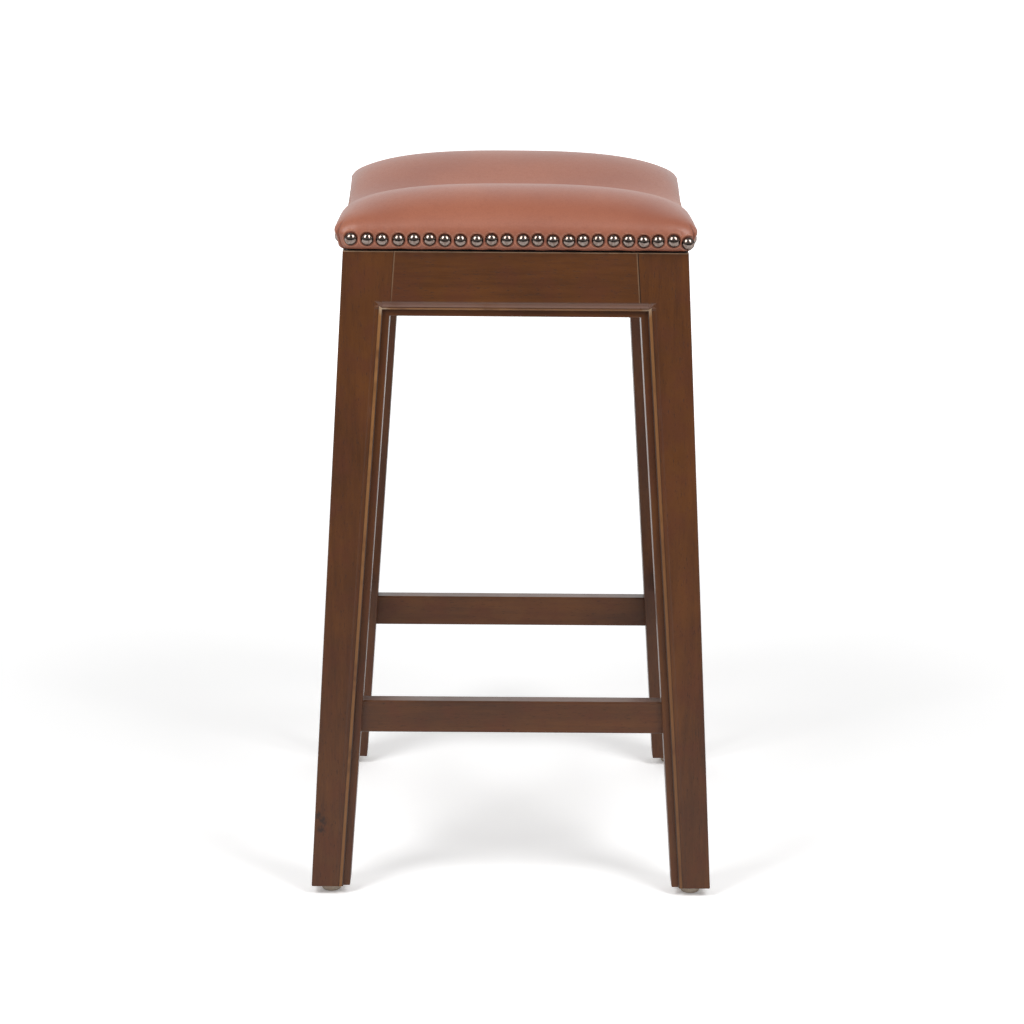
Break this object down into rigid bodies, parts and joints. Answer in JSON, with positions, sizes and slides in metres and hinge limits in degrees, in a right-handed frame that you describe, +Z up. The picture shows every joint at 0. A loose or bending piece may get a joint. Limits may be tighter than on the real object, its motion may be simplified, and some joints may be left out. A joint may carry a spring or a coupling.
{
  "type": "saddle counter stool",
  "caption": "Backless counter stool with a saddle seat in smooth leather with domed nail trim, on splayed moulded wood legs with aprons, stretchers and nail-on glides.",
  "frame": {"origin": "on the floor under the middle of the stool", "axes": "+Z up, +Y along the seat from its left end to its right end, +X across the seat towards the stool's back"},
  "size_m": [0.3752, 0.4564, 0.6595],
  "materials": {
    "wood": "satin walnut-brown lacquer",
    "plain_wood": "unfinished hardwood",
    "plywood": "unfinished plywood",
    "leather": "smooth cognac leather, fine grain, satin",
    "foam": "cut polyurethane foam",
    "black_cloth": "black non-woven cloth",
    "bronze": "dark antique bronze, polished dome",
    "steel": "zinc plated",
    "glide_plastic": "smooth beige plastic"
  },
  "bodies": {
    "root": {"front_left_leg": "wood", "back_left_leg": "wood", "front_right_leg": "wood", "back_right_leg": "wood", "left_apron": "wood", "right_apron": "wood", "front_apron": "wood", "back_apron": "wood", "left_stretcher": "wood", "right_stretcher": "wood", "front_stretcher": "wood", "back_stretcher": "wood", "front_left_corner_block": "plain_wood", "back_left_corner_block": "plain_wood", "front_right_corner_block": "plain_wood", "back_right_corner_block": "plain_wood", "apron_dowels": "plain_wood", "stretcher_dowels": "plain_wood", "corner_block_screws": "steel", "seat_screws": "steel", "staples": "steel", "glide_nails": "steel", "front_left_glide": "glide_plastic", "back_left_glide": "glide_plastic", "front_right_glide": "glide_plastic", "back_right_glide": "glide_plastic", "seat_board": "plywood", "foam_pad": "foam", "leather_cover": "leather", "dust_cover": "black_cloth", "left_nails": "bronze", "right_nails": "bronze", "front_nails": "bronze", "back_nails": "bronze"}
  },
  "joints": []
}
